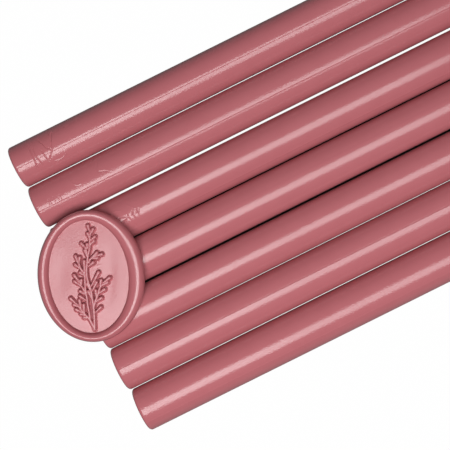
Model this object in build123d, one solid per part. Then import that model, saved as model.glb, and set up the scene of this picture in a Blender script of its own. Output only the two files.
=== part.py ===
from build123d import *
import math
import os

# Sealing wax set: seven moulded wax sticks lie side by side in one row, and a stamped oval seal
# of the same wax rests on the third, fourth and fifth. Millimetres, +X along the sticks, +Y across
# the row towards the first stick, +Z up. The origin is on the table, under the middle of the set.

# Wax sticks of the common glue-gun size
STICK_DIAMETER = 11.0
# How much each stick differs from that diameter, first to seventh
DIAMETER_OFFSETS = (-0.2, -0.05, 0.05, 0.05, 0.05, 0.15, 0.15)
STICK_LENGTH = 135.0
STICK_END_RADIUS = 0.8
END_FLATS = 3
# The two mould halves met with a small step, which runs along both sides of every stick
PARTING_STEP = 0.04
# Clear gap after each stick of the row, first to sixth
ROW_GAPS = (0.17, 0.47, 0.02, 0.02, 0.04, 0.12)
# How far each stick's near end stands back from the first one's
END_SETBACKS = (0.0, 0.1, 0.35, 0.2, 0.55, 0.45, 0.8)
# How each stick has rolled: its parting plane, in degrees from upright towards +Y
PARTING_ROLLS = (-7, -15, -45, 14, 82, 11, -31)

# Seal: soft wax pressed by an oval stamp, which leaves a flat face and rolls up a rim around it
SEAL_LONG_AXIS_ANGLE = 69.0
SEAL_INSET = 4.9
SEAL_ACROSS = 1.62
SEAL_CLEARANCE = 0.05
STAMP_WIDTH = 19.25
STAMP_HEIGHT = 27.3
FACE_THICKNESS = 2.0
RIM_THICKNESS = 3.4
RIM_WIDTH_AT_SIDES = 3.33
RIM_WIDTH_AT_ENDS = 2.35
RIM_CREST_SHARE = 0.5
RIM_BULGE_HEIGHT = 1.2
RIM_UNDERCUT = 0.5
# The stamp came down a little off the middle of the wax, so the rim is wider on one side
RIM_SHIFT = 0.5
RIM_STEPS = 4

# Sprig raised from the seal's face, a little below its middle
SPRIG_RELIEF = 0.45
SPRIG_ROOT = 0.3
SPRIG_DROP = 0.14
BRANCH_WIDTH = 0.8
TWIG_WIDTH = 0.6
STEM_TIP_WIDTH = 0.45
LEAF_WIDTH = 1.15
# How far a leaf starts inside its stem, and how far it goes past the middle of its round tip
LEAF_ROOT = 0.3
LEAF_TIP = 0.5
# Points along each stem from its root, with the long axis of the face upright
BRANCHES = (
    (
        (0.3, -13.0), (0.5, -8.8), (0.37, -4.7), (-0.2, -1.0), (-0.33, 1.5),
        (0.25, 4.7), (1.0, 7.1), (1.2, 9.4), (1.37, 11.2),
    ),
    ((0.1, -12.0), (-0.55, -10.4), (-0.83, -6.6), (-1.0, -2.1), (-0.95, 1.2)),
    ((0.55, -7.2), (1.2, -5.6), (1.85, -4.3), (3.2, -2.0)),
    ((-0.6, -10.3), (-1.8, -8.6), (-3.1, -6.6)),
)
TWIGS = (
    ((-0.95, 1.2), (-1.7, 2.4), (-1.97, 3.7)),
    ((-1.1, -3.6), (-1.5, -2.6), (-1.95, -1.8)),
    ((0.15, 5.2), (0.1, 6.2), (0.02, 7.1)),
    ((0.35, 3.6), (0.97, 4.4), (2.2, 5.0)),
)
# Root and tip of each leaf, from the top of the sprig down
LEAVES = (
    ((1.37, 11.17), (1.02, 12.4)),
    ((1.57, 10.4), (2.18, 11.45)),
    ((1.12, 9.5), (0.8, 10.55)),
    ((1.29, 8.85), (2.45, 9.6)),
    ((1.24, 7.85), (2.1, 8.6)),
    ((0.02, 7.1), (-0.95, 8.3)),
    ((0.42, 7.0), (0.42, 8.0)),
    ((0.13, 5.35), (-0.27, 6.55)),
    ((1.5, 4.9), (2.55, 5.75)),
    ((2.2, 5.05), (3.7, 5.25)),
    ((1.35, 4.5), (2.55, 4.45)),
    ((0.35, 2.7), (1.5, 3.5)),
    ((-2.2, 3.8), (-2.6, 5.4)),
    ((-1.97, 3.7), (-1.67, 4.95)),
    ((-1.75, 2.35), (-2.9, 3.35)),
    ((-0.8, 1.35), (-0.7, 4.0)),
    ((-0.95, 0.6), (-1.9, 1.35)),
    ((-2.0, -1.2), (-3.4, 0.9)),
    ((-1.95, -1.85), (-3.45, -0.6)),
    ((-1.9, -1.6), (-1.78, -0.5)),
    ((-1.25, -3.95), (-2.3, -3.1)),
    ((-1.25, -5.3), (-2.45, -4.3)),
    ((0.05, -2.9), (-0.45, -1.5)),
    ((0.25, -4.9), (-0.35, -3.4)),
    ((0.5, -2.1), (2.5, 1.0)),
    ((0.7, -3.2), (1.8, -1.3)),
    ((3.4, -1.6), (5.0, -0.6)),
    ((3.2, -2.15), (4.35, -1.65)),
    ((2.6, -2.3), (2.9, -1.0)),
    ((2.2, -4.0), (3.55, -3.2)),
    ((1.2, -6.0), (2.6, -5.2)),
    ((0.95, -8.5), (2.25, -7.4)),
    ((1.45, -4.8), (1.4, -3.3)),
    ((-3.2, -6.3), (-4.8, -4.65)),
    ((-3.15, -6.7), (-4.1, -6.25)),
    ((-2.55, -7.1), (-2.7, -5.2)),
    ((-2.3, -8.25), (-3.7, -7.4)),
    ((-1.8, -8.2), (-1.8, -6.45)),
    ((-1.8, -8.9), (-2.7, -8.6)),
    ((-1.0, -9.7), (-2.0, -9.5)),
)

# Places that follow from the sizes above
stick_diameters = [STICK_DIAMETER + offset for offset in DIAMETER_OFFSETS]
neighbours = zip(stick_diameters, stick_diameters[1:], ROW_GAPS)
stick_pitches = [(above + below) / 2 + PARTING_STEP + gap for above, below, gap in neighbours]
row_breadth = sum(stick_pitches)
stick_places = [row_breadth / 2 - sum(stick_pitches[:index]) for index in range(len(stick_diameters))]
seal_tilt = SEAL_LONG_AXIS_ANGLE - 90
tilt_cosine = math.cos(math.radians(seal_tilt))
tilt_sine = math.sin(math.radians(seal_tilt))
seal_half_width = STAMP_WIDTH / 2 + RIM_WIDTH_AT_SIDES
seal_half_height = STAMP_HEIGHT / 2 + RIM_WIDTH_AT_ENDS
reach_along = math.hypot(seal_half_width * tilt_cosine, seal_half_height * tilt_sine)
reach_across = math.hypot(seal_half_width * tilt_sine, seal_half_height * tilt_cosine)
seal_near_edge = SEAL_INSET + RIM_SHIFT * tilt_cosine - reach_along
near_end = -(min(seal_near_edge, 0) + STICK_LENGTH + max(END_SETBACKS)) / 2
# The seal lies on the sticks whose tops are under it
placed_diameters = zip(stick_places, stick_diameters)
carrying = [diameter for across, diameter in placed_diameters if abs(across - SEAL_ACROSS) < reach_across]
seal_back_height = max(carrying) + PARTING_STEP + SEAL_CLEARANCE


def moulded_stick(diameter):
    """One stick along +X, from its near end at zero, with its parting plane level.

    The edge of each end is rounded in a few short flats.
    """
    radius = diameter / 2
    near_edge = []
    for flat in range(END_FLATS + 1):
        angle = math.pi / 2 * flat / END_FLATS
        inward = STICK_END_RADIUS * (1 - math.cos(angle))
        near_edge.append((inward, radius - STICK_END_RADIUS * (1 - math.sin(angle))))
    far_edge = [(STICK_LENGTH - along, out) for along, out in reversed(near_edge)]
    profile = make_face(Polyline((0, 0), *near_edge, *far_edge, (STICK_LENGTH, 0), close=True))
    upper_half = revolve(profile, Axis.X, 180)
    lower_half = mirror(upper_half, about=Plane.XY)
    return Pos(Y=PARTING_STEP / 2) * upper_half + Pos(Y=-PARTING_STEP / 2) * lower_half


def oval_section(rim_share, height):
    """An oval of the seal, from the stamp's edge (share 0) out to the widest edge (share 1)."""
    oval = Ellipse(
        STAMP_WIDTH / 2 + rim_share * RIM_WIDTH_AT_SIDES,
        STAMP_HEIGHT / 2 + rim_share * RIM_WIDTH_AT_ENDS,
    )
    shift = RIM_SHIFT * min(rim_share / RIM_CREST_SHARE, 1)
    return Pos(X=shift, Z=height) * oval


def pressed_disc():
    """The seal without its sprig: back, rounded edge, rolled rim and the wall down to the face."""
    outer_share = 1 - RIM_CREST_SHARE
    undercut_share = RIM_UNDERCUT / RIM_WIDTH_AT_SIDES
    quarter = [math.pi / 2 * step / RIM_STEPS for step in range(RIM_STEPS + 1)]
    sections = []
    for angle in quarter:
        share = 1 - undercut_share * (1 - math.sin(angle))
        sections.append(oval_section(share, RIM_BULGE_HEIGHT * (1 - math.cos(angle))))
    for angle in quarter[1:]:
        height = RIM_BULGE_HEIGHT + (RIM_THICKNESS - RIM_BULGE_HEIGHT) * math.sin(angle)
        sections.append(oval_section(RIM_CREST_SHARE + outer_share * math.cos(angle), height))
    for angle in quarter[1:]:
        height = FACE_THICKNESS + (RIM_THICKNESS - FACE_THICKNESS) * math.cos(angle)
        sections.append(oval_section(RIM_CREST_SHARE * (1 - math.sin(angle)), height))
    return loft(sections, ruled=True)


def stem_outline(stem, root_width):
    """A stem that narrows from its root to its tip."""
    points = [Vector(*point) for point in stem]
    before = points[:1] + points[:-1]
    after = points[1:] + points[-1:]
    left, right = [], []
    for index, point in enumerate(points):
        heading = (after[index] - before[index]).normalized()
        share = index / (len(points) - 1)
        half_width = (root_width + (STEM_TIP_WIDTH - root_width) * share) / 2
        aside = heading.rotate(Axis.Z, 90) * half_width
        left.append(point + aside)
        right.insert(0, point - aside)
    edges = [Spline(left), Line(left[-1], right[0]), Spline(right), Line(right[-1], left[0])]
    return make_face(edges)


def leaf_outline(root, tip):
    """An oval leaf, from inside its stem to past the middle of its round tip."""
    run = Vector(*tip) - Vector(*root)
    length = LEAF_ROOT + run.length + LEAF_TIP
    leaf = Pos(X=length / 2 - LEAF_ROOT) * Ellipse(length / 2, LEAF_WIDTH / 2)
    return Pos(*root) * Rot(Z=math.degrees(math.atan2(run.Y, run.X))) * leaf


def raised_sprig():
    """The sprig's stems and leaves as one relief, standing on the face and rooted below it."""
    outlines = [stem_outline(stem, BRANCH_WIDTH) for stem in BRANCHES]
    outlines += [stem_outline(stem, TWIG_WIDTH) for stem in TWIGS]
    outlines += [leaf_outline(root, tip) for root, tip in LEAVES]
    sprig = Sketch() + outlines
    return Pos(Y=-SPRIG_DROP, Z=FACE_THICKNESS - SPRIG_ROOT) * extrude(sprig, SPRIG_RELIEF + SPRIG_ROOT)


def stamped_seal():
    """The whole seal, with its back at zero and its long axis along +Y."""
    return pressed_disc() + raised_sprig()


os.makedirs("parts", exist_ok=True)

stick_rows = zip(stick_diameters, stick_places, END_SETBACKS, PARTING_ROLLS)
for number, (diameter, across, setback, roll) in enumerate(stick_rows, start=1):
    axis_height = (diameter + PARTING_STEP) / 2
    place = Pos(near_end + setback, across, axis_height)
    stick = place * Rot(X=90 - roll) * moulded_stick(diameter)
    export_step(stick, f"parts/wax_stick_{number}.step")

seal_place = Pos(near_end + SEAL_INSET, SEAL_ACROSS, seal_back_height)
seal = seal_place * Rot(Z=seal_tilt) * stamped_seal()
export_step(seal, "parts/wax_seal.step")
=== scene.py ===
import math

import bpy
import numpy as np
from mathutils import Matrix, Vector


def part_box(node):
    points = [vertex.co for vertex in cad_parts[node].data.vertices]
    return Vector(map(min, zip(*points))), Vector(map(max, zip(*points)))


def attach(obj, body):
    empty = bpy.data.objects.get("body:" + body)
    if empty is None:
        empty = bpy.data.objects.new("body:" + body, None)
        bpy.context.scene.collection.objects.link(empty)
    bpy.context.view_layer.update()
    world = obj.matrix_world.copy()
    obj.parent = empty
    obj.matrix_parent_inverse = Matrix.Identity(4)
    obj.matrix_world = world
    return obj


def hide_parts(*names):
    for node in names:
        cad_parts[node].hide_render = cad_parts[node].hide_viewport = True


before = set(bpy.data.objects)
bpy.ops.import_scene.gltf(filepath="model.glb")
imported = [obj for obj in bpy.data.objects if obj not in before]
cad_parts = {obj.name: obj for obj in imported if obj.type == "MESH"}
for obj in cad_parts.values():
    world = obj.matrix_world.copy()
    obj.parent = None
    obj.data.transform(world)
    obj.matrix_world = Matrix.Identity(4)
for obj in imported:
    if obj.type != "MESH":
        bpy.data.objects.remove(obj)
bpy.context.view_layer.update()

# Sealing wax set: seven moulded wax sticks side by side, and a stamped seal that lies on three of
# them. Sizes here are millimetres, turned to metres as meshes are made, and angles are degrees.
MM = 0.001

# Camera, straight above the set, turned so that the row runs up to the right
IMAGE_PIXELS = 450
SENSOR_WIDTH = 36.0
PIXELS_PER_RADIAN = 1075.0
CAMERA_PLACE = (-24.06, -1.85, 272.0)
CAMERA_TURN = -26.45

# How far the visible skin stays inside the solids
SKIN_INSET = 0.01

# Wax sticks
STICK_DIAMETERS = (10.8, 10.95, 11.05, 11.05, 11.05, 11.15, 11.15)
STICK_END_RADIUS = 0.8
END_STEPS = 6
END_SINK = 0.15
CAP_SHARES = (0.8, 0.55, 0.3, 0.1)
# Rings along a stick: close together where its surface carries flow marks
MARKED_LENGTHS = {1: 16.0, 2: 24.0, 3: 25.0, 6: 6.0, 7: 6.0}
MARKED_PITCH = 0.08
PLAIN_PITCH = 1.5
# Points round a stick, from upright towards +Y: close together on top, where marks are seen
TOP_TURNS = (-72.0, 60.0)
TOP_PITCH = 0.8
UNDER_PITCH = 5.0
# Hollow sides of the third to fifth sticks, which leave a dark slot between them: the way that the
# side faces, 1 for +Y and -1 for -Y, and how deep it is
HOLLOW_SIDES = {3: ((-1, 0.1),), 4: ((1, 0.12), (-1, 0.2)), 5: ((1, 0.22),)}
HOLLOW_REACH = 16.0
SIDE_TURN = 90.0

# Seam left where the two mould halves met: its place round each stick, how high the half below
# it stands at the seam, how far the half above it dips there, and the height of its bead
SEAMS = {
    1: (-7, 0.0, 0.0, -0.03),
    2: (-15, -0.03, -0.14, 0.0),
    3: (-45, 0.0, 0.0, 0.05),
    4: (14, 0.03, 0.0, 0.0),
    5: (82, 0.0, 0.0, 0.02),
    6: (5, 0.06, 0.0, 0.0),
    7: (-31, 0.0, 0.0, 0.05),
}
# How far from the seam that lift or dip reaches, how wide the step between the halves is, and how
# wide the bead is
SEAM_REACH = {2: 1.3}
PLAIN_SEAM_REACH = 0.8
SEAM_STEP_WIDTH = 0.025
BEAD_WIDTH = 0.14

# Flow marks, left where cooling wax folded as it filled the mould. Each is a line of points,
# millimetres from the near end and degrees round the stick, then its height, below zero for a fold
FLOW_MARKS = {
    1: (
        (
            ((5.5, 42), (5.45, 27), (5.4, 10), (5.4, -5), (5.35, -14), (5.2, -27), (5.5, -40)),
            -0.055,
        ),
        (((6.3, 35), (6.2, 15), (6.1, -2), (6.35, -14), (6.5, -23), (6.9, -38)), -0.045),
        (((7.7, 12), (8.0, 1), (8.1, -11), (8.3, -22), (8.7, -32)), -0.045),
        (((8.4, 50), (8.35, 34), (8.8, 22), (9.3, 7), (10.0, 0), (10.2, -6)), -0.055),
        (((12.2, 50), (11.6, 35), (11.1, 20), (10.5, 4), (10.2, -6)), -0.055),
        (((10.2, -6), (9.8, -10), (9.3, -17), (8.8, -25)), -0.045),
        (((9.3, -30), (9.6, -34), (11.0, -37), (12.0, -35), (12.8, -30), (13.1, -20)), 0.028),
    ),
    2: (
        (((3.9, 5), (3.9, -13)), -0.018),
        (((4.3, 5), (4.35, -13)), -0.015),
        (((5.4, 6), (5.4, -13)), -0.020),
        (((6.3, 5), (6.35, -13)), -0.012),
        (((7.0, 4), (7.0, -13)), -0.018),
        (((10.5, 28), (10.7, 22), (11.1, 10), (12.0, 3), (13.2, 1)), 0.016),
        (
            ((18.0, 47), (18.5, 35), (17.9, 20), (17.9, 11), (18.5, 7), (19.6, 3), (20.6, -6)),
            -0.020,
        ),
    ),
    3: (
        (((15.6, 22), (16.2, 22), (17.6, 19), (18.6, 14)), 0.014),
        (((20.0, 24), (20.4, 20), (21.4, 9), (22.0, 0)), 0.014),
        (((16.6, -4), (17.9, -3), (18.9, -7)), 0.034),
        (((17.6, -18), (18.2, -13), (18.8, -18), (18.2, -23)), 0.028),
        (((16.2, -9), (17.2, -12), (18.4, -11), (19.2, -8)), 0.045),
        (((19.5, 0), (19.4, -8), (19.7, -15)), 0.035),
        (((20.8, 4), (20.5, -3), (20.2, -9)), -0.030),
        (((20.9, -2), (20.7, -9), (20.9, -16)), 0.035),
        (((21.9, 3), (21.6, -5), (21.3, -10)), -0.026),
        (((22.0, -3), (21.9, -9), (22.0, -14)), 0.030),
        (((22.6, 2), (22.3, -6), (22.1, -10)), -0.022),
        (((19.7, -22), (20.0, -32), (20.2, -42)), -0.016),
    ),
}
FLOW_MARK_WIDTH = 0.12
# All those heights are multiplied by this, so that the marks show at the photo's size
FLOW_MARK_BOOST = 3.6
# A mark fades over this share of its length at both ends, to this share of its height
MARK_FADE_LENGTH = 0.2
MARK_END_HEIGHT = 0.25
# Short runs that a smooth line is drawn with between two of its points
CURVE_STEPS = 8

# Slow unevenness of a stick that was poured and pulled from its mould while warm
WAVES = 5
WAVE_LENGTHS = (14.0, 60.0)
WAVE_HEIGHT = 0.006
WAVE_SEED = 7

# Seal: its place on the sticks, the stamped oval, and the rim that rolled up around it
SEAL_INSET = 4.9
SEAL_ACROSS = 1.62
SEAL_TILT = -21.0
STAMP_HALF_WIDTH = 9.625
STAMP_HALF_HEIGHT = 13.65
RIM_WIDTH_AT_SIDES = 3.33
RIM_WIDTH_AT_ENDS = 2.35
RIM_CREST_SHARE = 0.545
CREST_SHIFT = (0.42, 0.1)
RIM_SHIFT = (0.55, 0.12)
RIM_UNDERCUT = 0.5
RIM_BULGE_HEIGHT = 1.2
RIM_THICKNESS = 3.36
FACE_THICKNESS = 1.8
# The stamp was pressed in a little aslant: how steeply the face rises to its upper end
FACE_SLANT = 1.1
# Soft sinks and fine folds in the face: a line of points, its width, and its height
FACE_FOLDS = (
    (((5.2, 9.5), (5.3, 5.0), (5.2, 0.0), (4.7, -4.5), (3.4, -9.5)), 1.5, -0.17),
    (((-6.2, 8.5), (-6.5, 4.0), (-6.6, -1.0), (-6.4, -6.0)), 2.0, -0.13),
    (((2.0, 7.2), (2.7, 7.45), (3.3, 7.3)), 0.2, 0.03),
    (((1.9, 2.0), (2.6, 2.5), (3.6, 2.6)), 0.2, 0.03),
    (((1.7, 1.2), (2.2, 1.9), (3.0, 2.0)), 0.2, -0.03),
)
SEAL_SPOKES = 512
FACE_RINGS = 150
WALL_RINGS = 14
ROLL_RINGS = 18
UNDER_RINGS = 6
BACK_SHARES = (0.9, 0.7, 0.45, 0.2)

# Sprig raised from the seal's face. Stems are lines of points on the face, with its middle as
# zero and its long axis upright; leaves go from their root to the middle of their round tip
SPRIG_RELIEF = 1.15
SPRIG_DROP = 0.14
# The ground sinks in a narrow line along the foot of each stem and leaf
FOOT_DEPTH = 0.35
FOOT_WIDTH = 0.12
# How square the cross-section of a stem or leaf is: 2 is a half ellipse, more is flatter on top
SPRIG_SQUARENESS = 3.6
STEM_ROOT_RADIUS = 0.43
STEM_TIP_RADIUS = 0.35
LEAF_ROOT_RADIUS = 0.3
LEAF_TIP_RADIUS = 0.51
STEMS = (
    (
        (0.27, -12.65), (0.35, -11.6), (0.5, -8.8), (0.5, -7.1), (0.37, -4.7), (0.3, -3.4),
        (0.05, -2.0), (-0.2, -1.0), (-0.35, 0.3), (-0.33, 1.5), (-0.1, 2.85), (0.25, 4.7),
        (0.65, 6.0), (1.0, 7.1), (1.15, 8.4), (1.2, 9.4), (1.5, 10.6), (1.37, 11.2),
    ),
    (
        (0.25, -12.6), (0.0, -11.8), (-0.35, -10.9), (-0.58, -10.2), (-0.6, -8.8), (-0.83, -6.6),
        (-0.87, -4.6), (-1.0, -3.2), (-1.0, -2.1), (-0.9, 0.0), (-0.95, 1.2),
    ),
    ((0.55, -7.2), (1.2, -5.6), (1.85, -4.3), (2.5, -2.75), (3.2, -2.0)),
    ((-0.6, -10.3), (-1.0, -9.7), (-1.8, -8.6), (-2.4, -7.6), (-3.1, -6.6)),
    ((-0.95, 1.2), (-1.7, 2.4), (-1.97, 3.7)),
    ((-1.1, -3.6), (-1.5, -2.6), (-1.95, -1.8)),
    ((0.15, 5.2), (0.1, 6.2), (0.02, 7.1)),
    ((0.35, 3.6), (0.97, 4.4), (1.45, 4.8), (2.2, 5.0)),
)
LEAVES = (
    ((1.37, 11.17), (1.02, 12.4)),
    ((1.57, 10.4), (2.18, 11.45)),
    ((1.12, 9.5), (0.8, 10.55)),
    ((1.29, 8.85), (2.45, 9.6)),
    ((1.24, 7.85), (2.1, 8.6)),
    ((0.02, 7.1), (-0.95, 8.3)),
    ((0.42, 7.0), (0.42, 8.0)),
    ((0.13, 5.35), (-0.27, 6.55)),
    ((1.5, 4.9), (2.55, 5.75)),
    ((2.2, 5.05), (3.7, 5.25)),
    ((1.35, 4.5), (2.55, 4.45)),
    ((0.35, 2.7), (1.5, 3.5)),
    ((-2.2, 3.8), (-2.6, 5.4)),
    ((-1.97, 3.7), (-1.67, 4.95)),
    ((-1.75, 2.35), (-2.9, 3.35)),
    ((-0.8, 1.35), (-0.7, 4.0)),
    ((-0.95, 0.6), (-1.9, 1.35)),
    ((-2.0, -1.2), (-3.4, 0.9)),
    ((-1.95, -1.85), (-3.45, -0.6)),
    ((-1.9, -1.6), (-1.78, -0.5)),
    ((-1.25, -3.95), (-2.3, -3.1)),
    ((-1.25, -5.3), (-2.45, -4.3)),
    ((0.05, -2.9), (-0.45, -1.5)),
    ((0.25, -4.9), (-0.35, -3.4)),
    ((0.5, -2.1), (2.5, 1.0)),
    ((0.7, -3.2), (1.8, -1.3)),
    ((3.4, -1.6), (5.0, -0.6)),
    ((3.2, -2.15), (4.35, -1.65)),
    ((2.6, -2.3), (2.9, -1.0)),
    ((2.2, -4.0), (3.55, -3.2)),
    ((1.2, -6.0), (2.6, -5.2)),
    ((0.95, -8.5), (2.25, -7.4)),
    ((1.45, -4.8), (1.4, -3.3)),
    ((-3.2, -6.3), (-4.8, -4.65)),
    ((-3.15, -6.7), (-4.1, -6.25)),
    ((-2.55, -7.1), (-2.7, -5.2)),
    ((-2.3, -8.25), (-3.7, -7.4)),
    ((-1.8, -8.2), (-1.8, -6.45)),
    ((-1.8, -8.9), (-2.7, -8.6)),
    ((-1.0, -9.7), (-2.0, -9.5)),
)

# Wax: a dull cloudy body under a thin smooth skin. The body and the skin are the same wax, so
# nothing is mirrored where they meet
WAX_ROSE = "#b96c72"
WAX_ROSE_DEEP = "#b4676d"
BODY_ROUGHNESS = 0.6
BODY_MIRRORING = 0.0
WAX_IOR = 1.45
SKIN_IOR = 1.5
# Cloudiness of the wax's colour
CLOUD_WIDTH = 4.0
CLOUD_DETAIL = 2.0
# Grain of the skin. The real one is too fine to show, so it is drawn as coarse as it needs to be
GRAIN_WIDTH = 0.34
GRAIN_DETAIL = 1.0
# How much of the wax has a skin, how rough the skin is, and how high its grain is.
# Moulded in a smooth tube: a long clear highlight with slightly ragged edges
MOULDED_SKIN = (0.82, 0.18, 0.022)
# Pressed by a metal stamp: a pale hazy sheen over the whole face
STAMPED_SKIN = (0.8, 0.23, 0.03)
# Rolled up by the stamp and set in the air: a thin bright line along the crest
ROLLED_SKIN = (1.0, 0.16, 0.002)

# Matt paper under the set, and the darker paper of the two slot strips, painted as shade
PAPER_GREY = "#868686"
PAINTED_SHADE_PAPER = "#1c1c1c"
FLOOR_HALF_WIDTH = 6000.0
# How much of the floor's white the camera sees, and how much of it shiny surfaces mirror
FLOOR_GLOW_SEEN = 0.994
FLOOR_GLOW_MIRRORED = 0.06
# Shade painted into the floor's white from how much of the room each point sees: how far off a
# stick gives any, and how open to the room the floor is where it is darkest and where it is white.
# Gaps in the row are always white, but for the two strips at both sides of the fourth stick, where
# dark paper and that painted shade stand for the shade between the tight sticks beside it
SHADE_REACH = 8.0
SHADE_RAYS = 32
OPEN_FLOOR = (0.05, 0.42)
PAINTED_SHADE_SLOT = (0.2, 0.36)
WHITE_GAP = (-1.0, -0.5)
SLOT_HALF_WIDTH = 0.7

# Light: two softboxes in one line along the row, the one over the near ends brighter, and a dim
# room. Each softbox has its place along the row, its length and its brightness
SOFTBOX_ACROSS = -106.0
SOFTBOX_HEIGHT = 450.0
SOFTBOX_BREADTH = 262.0
SOFTBOXES = {"near": (-140.0, 220.0, 9.0), "far": (70.0, 200.0, 6.3)}
ROOM_LIGHT = 0.01


def box_of(node):
    """Lowest and highest corner of a solid, in millimetres."""
    return [np.array(corner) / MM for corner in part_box(node)]


def new_piece(name, points, faces, finish):
    """A smooth-shaded mesh object from points in millimetres."""
    mesh = bpy.data.meshes.new(name)
    mesh.from_pydata((np.asarray(points) * MM).tolist(), [], faces)
    mesh.polygons.foreach_set("use_smooth", [True] * len(mesh.polygons))
    mesh.materials.append(finish)
    mesh.update()
    piece = bpy.data.objects.new(name, mesh)
    bpy.context.scene.collection.objects.link(piece)
    return piece


def skin(ring_count, ring_size, first_point, last_point):
    """Faces between closed rings that follow each other, and fans to the points at both ends."""
    here = np.arange(ring_count * ring_size).reshape(ring_count, ring_size)
    ahead = np.roll(here, -1, axis=1)
    quads = np.stack([here[:-1], here[1:], ahead[1:], ahead[:-1]], axis=-1)
    faces = quads.reshape(-1, 4).tolist()
    faces += np.stack([np.full(ring_size, first_point), here[0], ahead[0]], axis=-1).tolist()
    faces += np.stack([np.full(ring_size, last_point), ahead[-1], here[-1]], axis=-1).tolist()
    return faces


def smooth_line(points):
    """Points along a smooth (Catmull-Rom) line through the given ones."""
    given = np.array(points, float)
    padded = np.vstack([2 * given[0] - given[1], given, 2 * given[-1] - given[-2]])
    line = [given[0]]
    for before, start, end, after in zip(padded, padded[1:], padded[2:], padded[3:]):
        for share in np.linspace(0, 1, CURVE_STEPS + 1)[1:]:
            line.append(0.5 * (
                2 * start
                + (end - before) * share
                + (2 * before - 5 * start + 4 * end - after) * share**2
                + (3 * start - before - 3 * end + after) * share**3
            ))
    return np.array(line)


def nearest_on_line(points, line):
    """For each point, its distance from the line and how far along the line that is, 0 to 1."""
    distance = np.full(len(points), np.inf)
    along = np.zeros(len(points))
    steps = np.linalg.norm(np.diff(line, axis=0), axis=1)
    passed = np.concatenate([[0], np.cumsum(steps)])
    for index, (start, end) in enumerate(zip(line, line[1:])):
        run = end - start
        share = np.clip((points - start) @ run / (run @ run), 0, 1)
        reach = np.linalg.norm(points - start - share[:, None] * run, axis=1)
        nearer = reach < distance
        distance[nearer] = reach[nearer]
        along[nearer] = (passed[index] + share[nearer] * steps[index]) / passed[-1]
    return distance, along


def arc_length(number, turn):
    """Millimetres round a stick's surface for an angle."""
    return STICK_DIAMETERS[number - 1] / 2 * np.radians(turn)


def seam_height(number, turn):
    """How far the mould seam lifts the surface of a stick."""
    place, shoulder, dip, bead = SEAMS[number]
    above = arc_length(number, turn - place)
    lower_half = (1 - np.tanh(above / SEAM_STEP_WIDTH)) / 2
    fading = np.exp(-np.abs(above) / SEAM_REACH.get(number, PLAIN_SEAM_REACH))
    rise = shoulder * fading * lower_half
    fall = dip * fading * (1 - lower_half)
    return rise - fall + bead * np.exp(-(above / BEAD_WIDTH) ** 2)


def flow_mark_height(number, along, turn):
    """How far the flow marks lift the surface of a stick."""
    places = np.stack([along, arc_length(number, turn)], axis=-1)
    height = np.zeros(len(places))
    for points, mark_height in FLOW_MARKS.get(number, ()):
        line = smooth_line([(start, arc_length(number, turned)) for start, turned in points])
        distance, share = nearest_on_line(places, line)
        from_end = np.minimum(share, 1 - share)
        faded = np.clip(from_end / MARK_FADE_LENGTH, MARK_END_HEIGHT, 1)
        height += mark_height * faded * np.exp(-(distance / FLOW_MARK_WIDTH) ** 2)
    return FLOW_MARK_BOOST * height


def unevenness(number, along, turn):
    """Slow waves along the top and underside of a stick, the same each time for the same stick."""
    draw = np.random.default_rng(WAVE_SEED + number)
    height = np.zeros(len(along))
    for _ in range(WAVES):
        length = draw.uniform(*WAVE_LENGTHS)
        start, facing = draw.uniform(0, 2 * math.pi, 2)
        height += np.sin(along * 2 * math.pi / length + start) * np.cos(np.radians(turn) - facing)
    return WAVE_HEIGHT * height * np.cos(np.radians(turn)) ** 2


def stick_stations(number, length):
    """Places of the rings along a stick, each with how far its edge is drawn in at the ends."""
    quarter = np.linspace(0, math.pi / 2, END_STEPS + 1)
    edge = STICK_END_RADIUS * (1 - np.cos(quarter))
    drawn_in = STICK_END_RADIUS * (1 - np.sin(quarter))
    marked_end = MARKED_LENGTHS.get(number, STICK_END_RADIUS + PLAIN_PITCH)
    marked = np.arange(STICK_END_RADIUS + MARKED_PITCH, marked_end, MARKED_PITCH)
    plain_count = round((length - STICK_END_RADIUS - marked_end) / PLAIN_PITCH)
    plain = np.linspace(marked_end, length - STICK_END_RADIUS, plain_count, endpoint=False)
    body = np.concatenate([marked, plain])
    places = np.concatenate([edge, body, length - edge[::-1]])
    insets = np.concatenate([drawn_in, np.zeros(len(body)), drawn_in[::-1]])
    return places, insets


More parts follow.
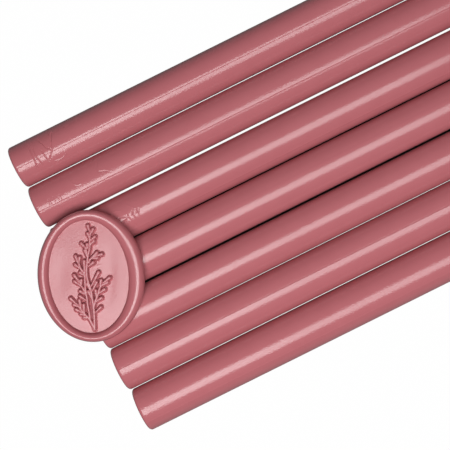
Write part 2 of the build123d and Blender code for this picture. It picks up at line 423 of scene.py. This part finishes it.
def make_stick(number, finish):
    """One wax stick, in the place of its solid."""
    node = f"wax_stick_{number}"
    low, high = box_of(node)
    length = high[0] - low[0]
    axis_y, axis_z = (low[1:] + high[1:]) / 2
    top = np.arange(TOP_TURNS[0], TOP_TURNS[1], TOP_PITCH)
    under = np.arange(TOP_TURNS[1], TOP_TURNS[0] + 360, UNDER_PITCH)
    turns = np.concatenate([top, under])
    turns = np.where(turns > 180, turns - 360, turns)
    places, insets = stick_stations(number, length)
    along, turn = (grid.ravel() for grid in np.meshgrid(places, turns, indexing="ij"))
    inset = np.repeat(insets, len(turns))
    kept = 1 - inset / STICK_END_RADIUS
    full_radius = STICK_DIAMETERS[number - 1] / 2 - SKIN_INSET
    relief = seam_height(number, turn) + flow_mark_height(number, along, turn)
    relief += unevenness(number, along, turn)
    for side, depth in HOLLOW_SIDES.get(number, ()):
        relief -= depth * np.exp(-((side * turn - SIDE_TURN) / HOLLOW_REACH) ** 2)
    radius = full_radius - inset + kept * relief
    rim_radius = full_radius - STICK_END_RADIUS
    near_cap, far_cap = [], []
    for share in CAP_SHARES:
        sink = END_SINK * (1 - share**2)
        near_cap.append((sink, share * rim_radius))
        far_cap.append((length - sink, share * rim_radius))
    near_along, near_radius = np.repeat(np.array(near_cap[::-1]), len(turns), axis=0).T
    far_along, far_radius = np.repeat(np.array(far_cap), len(turns), axis=0).T
    along = np.concatenate([near_along, along, far_along])
    radius = np.concatenate([near_radius, radius, far_radius])
    ring_count = len(places) + 2 * len(CAP_SHARES)
    ring_turns = np.radians(np.tile(turns, ring_count))
    y = axis_y + radius * np.sin(ring_turns)
    z = axis_z + radius * np.cos(ring_turns)
    points = np.stack([low[0] + along, y, z], axis=-1)
    near_middle = (low[0] + END_SINK, axis_y, axis_z)
    far_middle = (high[0] - END_SINK, axis_y, axis_z)
    faces = skin(ring_count, len(turns), len(points), len(points) + 1)
    points = np.vstack([points, near_middle, far_middle])
    piece = new_piece(f"moulded_stick_{number}", points, faces, finish)
    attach(piece, f"stick_{number}")
    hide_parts(node)


def sprig_height(places):
    """How far the sprig stands above the seal's face."""
    strokes = [(smooth_line(stem), STEM_ROOT_RADIUS, STEM_TIP_RADIUS) for stem in STEMS]
    strokes += [(np.array(leaf), LEAF_ROOT_RADIUS, LEAF_TIP_RADIUS) for leaf in LEAVES]
    raised = np.zeros(len(places))
    outside = np.full(len(places), np.inf)
    for line, root_radius, tip_radius in strokes:
        distance, share = nearest_on_line(places + (0, SPRIG_DROP), line)
        radius = root_radius + (tip_radius - root_radius) * share
        outside = np.minimum(outside, distance - radius)
        from_middle = np.clip(distance / radius, 0, 1)
        rounded = (1 - from_middle**SPRIG_SQUARENESS) ** (1 / SPRIG_SQUARENESS)
        raised = np.maximum(raised, SPRIG_RELIEF * rounded)
    sunk = FOOT_DEPTH * np.exp(-(np.maximum(outside, 0) / FOOT_WIDTH) ** 2)
    return np.where(outside > 0, -sunk, raised * (1 + FOOT_DEPTH / SPRIG_RELIEF) - FOOT_DEPTH)


def face_height(places):
    """Height of the seal's stamped ground above its back."""
    height = FACE_THICKNESS + places[:, 1] * math.tan(math.radians(FACE_SLANT))
    for points, width, fold_height in FACE_FOLDS:
        distance, share = nearest_on_line(places, smooth_line(points))
        height += fold_height * np.sin(math.pi * share) ** 2 * np.exp(-(distance / width) ** 2)
    return height


def make_seal(face_finish, rim_finish):
    """The stamped seal, in the place of its solid."""
    spokes = np.linspace(0, 2 * math.pi, SEAL_SPOKES, endpoint=False)
    stamp_edge = np.column_stack([
        STAMP_HALF_WIDTH * np.cos(spokes),
        STAMP_HALF_HEIGHT * np.sin(spokes),
    ])
    edge_height = face_height(stamp_edge)
    rings = []

    def add_oval(share, height):
        """A ring from the stamp's edge (share 0) over the rim's crest to its widest edge (1)."""
        shift_x, shift_y = (
            np.interp(share, (0, RIM_CREST_SHARE, 1), (0, crest, edge))
            for crest, edge in zip(CREST_SHIFT, RIM_SHIFT)
        )
        x = shift_x + (STAMP_HALF_WIDTH + share * RIM_WIDTH_AT_SIDES - SKIN_INSET) * np.cos(spokes)
        y = shift_y + (STAMP_HALF_HEIGHT + share * RIM_WIDTH_AT_ENDS - SKIN_INSET) * np.sin(spokes)
        rings.append(np.stack([x, y, np.broadcast_to(height, SEAL_SPOKES)], axis=-1))

    for scale in np.linspace(0, 1, FACE_RINGS + 1)[1:]:
        places = scale * stamp_edge
        height = face_height(places) + sprig_height(places)
        rings.append(np.column_stack([places, height]))
    for angle in np.linspace(math.pi / 2, 0, WALL_RINGS + 1)[1:]:
        wall = (RIM_THICKNESS - edge_height) * math.cos(angle)
        add_oval(RIM_CREST_SHARE * (1 - math.sin(angle)), edge_height + wall)
    for angle in np.linspace(math.pi / 2, 0, ROLL_RINGS + 1)[1:]:
        roll = (RIM_THICKNESS - RIM_BULGE_HEIGHT) * math.sin(angle)
        share = RIM_CREST_SHARE + (1 - RIM_CREST_SHARE) * math.cos(angle)
        add_oval(share, RIM_BULGE_HEIGHT + roll)
    undercut = RIM_UNDERCUT / RIM_WIDTH_AT_SIDES
    for angle in np.linspace(math.pi / 2, 0, UNDER_RINGS + 1)[1:]:
        share = 1 - undercut * (1 - math.sin(angle))
        add_oval(share, RIM_BULGE_HEIGHT * (1 - math.cos(angle)))
    for scale in BACK_SHARES:
        rings.append(rings[-1] * (scale, scale, 1))
    middle = np.zeros((1, 2))
    middle_height = face_height(middle) + sprig_height(middle)
    points = np.vstack([*rings, (0, 0, middle_height[0]), (0, 0, 0)])
    faces = skin(len(rings), SEAL_SPOKES, len(points) - 2, len(points) - 1)
    back_height = box_of("wax_seal")[0][2]
    near_end = box_of("wax_stick_1")[0][0]
    tilt = math.radians(SEAL_TILT)
    turned = points @ np.array([
        (math.cos(tilt), math.sin(tilt), 0),
        (-math.sin(tilt), math.cos(tilt), 0),
        (0, 0, 1),
    ])
    placed = turned + (near_end + SEAL_INSET, SEAL_ACROSS, back_height)
    piece = new_piece("stamped_seal", placed, [face[::-1] for face in faces], face_finish)
    piece.data.materials.append(rim_finish)
    rim_faces = slice((FACE_RINGS - 1) * SEAL_SPOKES, (len(rings) - 1) * SEAL_SPOKES)
    for face in piece.data.polygons[rim_faces]:
        face.material_index = 1
    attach(piece, "seal")
    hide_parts("wax_seal")


def linear(hex_colour):
    """A colour written as sRGB hex, as the linear values that shaders take."""
    channels = [int(hex_colour[place:place + 2], 16) / 255 for place in (1, 3, 5)]
    return (*[c / 12.92 if c <= 0.04045 else ((c + 0.055) / 1.055) ** 2.4 for c in channels], 1.0)


def add_node(tree, kind, settings=None, links=None):
    """A node with its settings, which are sockets or properties, and what its sockets link to."""
    made = tree.nodes.new(kind)
    for name, value in (settings or {}).items():
        if isinstance(name, int) or name in made.inputs:
            made.inputs[name].default_value = value
        else:
            setattr(made, name, value)
    for name, source in (links or {}).items():
        tree.links.new(source, made.inputs[name])
    return made


def new_finish(name):
    """An empty material and its node tree."""
    finish = bpy.data.materials.new(name)
    finish.use_nodes = True
    finish.node_tree.nodes.clear()
    return finish, finish.node_tree


def sealing_wax(name, skin_weight, skin_roughness, grain_height):
    """Sealing wax: its cloudy body gives a soft rose colour, and its skin the highlights."""
    finish, tree = new_finish(name)
    place = add_node(tree, "ShaderNodeTexCoord").outputs["Object"]
    cloud = add_node(
        tree, "ShaderNodeTexNoise",
        {"Scale": 1 / (CLOUD_WIDTH * MM), "Detail": CLOUD_DETAIL},
        {"Vector": place},
    )
    rose = add_node(
        tree, "ShaderNodeMix",
        {"data_type": "RGBA", 6: linear(WAX_ROSE), 7: linear(WAX_ROSE_DEEP)},
        {0: cloud.outputs["Fac"]},
    )
    grain = add_node(
        tree, "ShaderNodeTexNoise",
        {"Scale": 1 / (GRAIN_WIDTH * MM), "Detail": GRAIN_DETAIL},
        {"Vector": place},
    )
    relief = add_node(
        tree, "ShaderNodeBump",
        {"Strength": 1.0, "Distance": grain_height * MM},
        {"Height": grain.outputs["Fac"]},
    )
    wax = add_node(
        tree, "ShaderNodeBsdfPrincipled",
        {
            "Base Color": linear(WAX_ROSE),
            "Roughness": BODY_ROUGHNESS,
            "IOR": WAX_IOR,
            "Specular IOR Level": BODY_MIRRORING,
            "Coat Weight": skin_weight,
            "Coat Roughness": skin_roughness,
            "Coat IOR": SKIN_IOR,
        },
        {
            "Base Color": rose.outputs[2],
            "Normal": relief.outputs["Normal"],
            "Coat Normal": relief.outputs["Normal"],
        },
    )
    add_node(tree, "ShaderNodeOutputMaterial", links={"Surface": wax.outputs["BSDF"]})
    return finish


def studio_paper(name, colour, openness):
    """Matt paper seen white by the camera, with shade painted into that white where it is closed
    in.
    """
    finish, tree = new_finish(name)
    room_seen = add_node(
        tree, "ShaderNodeAmbientOcclusion",
        {"Distance": SHADE_REACH * MM, "samples": SHADE_RAYS},
    )
    # Shade painted into the camera's white: less of it where the paper sees less of the room
    painted_shade_white = add_node(
        tree, "ShaderNodeMapRange",
        {"From Min": openness[0], "From Max": openness[1], "To Max": FLOOR_GLOW_SEEN},
        {"Value": room_seen.outputs["AO"]},
    )
    rays = add_node(tree, "ShaderNodeLightPath").outputs
    mirrored = add_node(
        tree, "ShaderNodeMath", {"operation": "MAXIMUM"},
        {0: rays["Is Glossy Ray"], 1: rays["Is Transmission Ray"]},
    )
    mirrored_share = add_node(
        tree, "ShaderNodeMath",
        {"operation": "MULTIPLY", 1: FLOOR_GLOW_MIRRORED},
        {0: mirrored.outputs[0]},
    )
    share = add_node(
        tree, "ShaderNodeMath", {"operation": "MULTIPLY_ADD"},
        {0: rays["Is Camera Ray"], 1: painted_shade_white.outputs[0], 2: mirrored_share.outputs[0]},
    )
    paper = add_node(tree, "ShaderNodeBsdfDiffuse", {"Color": linear(colour)})
    glow = add_node(tree, "ShaderNodeEmission", {"Strength": 1.0})
    mixed = add_node(
        tree, "ShaderNodeMixShader",
        links={0: share.outputs[0], 1: paper.outputs["BSDF"], 2: glow.outputs["Emission"]},
    )
    add_node(tree, "ShaderNodeOutputMaterial", links={"Surface": mixed.outputs["Shader"]})
    return finish


def make_camera():
    """The camera of the photograph."""
    camera = bpy.data.objects.new("camera", bpy.data.cameras.new("camera"))
    camera.data.sensor_width = SENSOR_WIDTH
    camera.data.lens = SENSOR_WIDTH * PIXELS_PER_RADIAN / IMAGE_PIXELS
    camera.location = [place * MM for place in CAMERA_PLACE]
    camera.rotation_euler = (0, 0, math.radians(CAMERA_TURN))
    bpy.context.scene.collection.objects.link(camera)
    bpy.context.scene.camera = camera


def make_light():
    """Softboxes over the row, and the room around it."""
    for name, (along, length, radiance) in SOFTBOXES.items():
        lamp = bpy.data.lights.new(f"softbox_{name}", "AREA")
        lamp.shape = "RECTANGLE"
        lamp.size, lamp.size_y = length * MM, SOFTBOX_BREADTH * MM
        lamp.energy = radiance * math.pi * lamp.size * lamp.size_y
        softbox = bpy.data.objects.new(lamp.name, lamp)
        softbox.location = (along * MM, SOFTBOX_ACROSS * MM, SOFTBOX_HEIGHT * MM)
        bpy.context.scene.collection.objects.link(softbox)
    world = bpy.data.worlds.new("room")
    world.use_nodes = True
    tree = world.node_tree
    tree.nodes.clear()
    room = add_node(tree, "ShaderNodeBackground", {"Strength": ROOM_LIGHT})
    add_node(tree, "ShaderNodeOutputWorld", links={"Surface": room.outputs["Background"]})
    bpy.context.scene.world = world


def make_floor():
    """Paper under the set: open floor, the gaps of the row, and two strips painted dark as shade.
    """
    first_low, first_high = box_of("wax_stick_1")
    fourth_low, fourth_high = box_of("wax_stick_4")
    last_low, last_high = box_of("wax_stick_7")
    along = (-FLOOR_HALF_WIDTH, first_low[0], last_high[0], FLOOR_HALF_WIDTH)
    across = [-FLOOR_HALF_WIDTH, (last_low[1] + last_high[1]) / 2]
    for side in (fourth_low[1], fourth_high[1]):
        across += [side - SLOT_HALF_WIDTH, side + SLOT_HALF_WIDTH]
    across += [(first_low[1] + first_high[1]) / 2, FLOOR_HALF_WIDTH]
    corners = [(x, y, 0) for x in along for y in across]
    first = np.arange(len(along) - 1)[:, None] * len(across) + np.arange(len(across) - 1)
    beside = first + len(across)
    quads = np.stack([first, beside, beside + 1, first + 1], axis=-1)
    # Open floor, with a contact shadow painted into its white near the sticks
    open_floor = studio_paper("studio_paper_open_painted_shadow", PAPER_GREY, OPEN_FLOOR)
    floor = new_piece("studio_floor", corners, quads.reshape(-1, 4).tolist(), open_floor)
    floor.data.materials.append(studio_paper("studio_paper_in_gaps", PAPER_GREY, WHITE_GAP))
    # Dark paper and painted shade in the slots beside the fourth stick, for the shade between tight
    # sticks
    floor.data.materials.append(studio_paper("studio_paper_painted_shade_in_slots", PAINTED_SHADE_PAPER, PAINTED_SHADE_SLOT))
    gap, slot = 1, 2
    row_start = len(across) - 1
    for column, finish_index in enumerate((gap, slot, gap, slot, gap), start=1):
        floor.data.polygons[row_start + column].material_index = finish_index


make_camera()
make_light()
make_floor()
moulded_wax = sealing_wax("sealing_wax_moulded", *MOULDED_SKIN)
for number in range(1, len(STICK_DIAMETERS) + 1):
    make_stick(number, moulded_wax)
make_seal(
    sealing_wax("sealing_wax_stamped", *STAMPED_SKIN),
    sealing_wax("sealing_wax_rolled", *ROLLED_SKIN),
)

bpy.context.scene.view_settings.view_transform = "Standard"
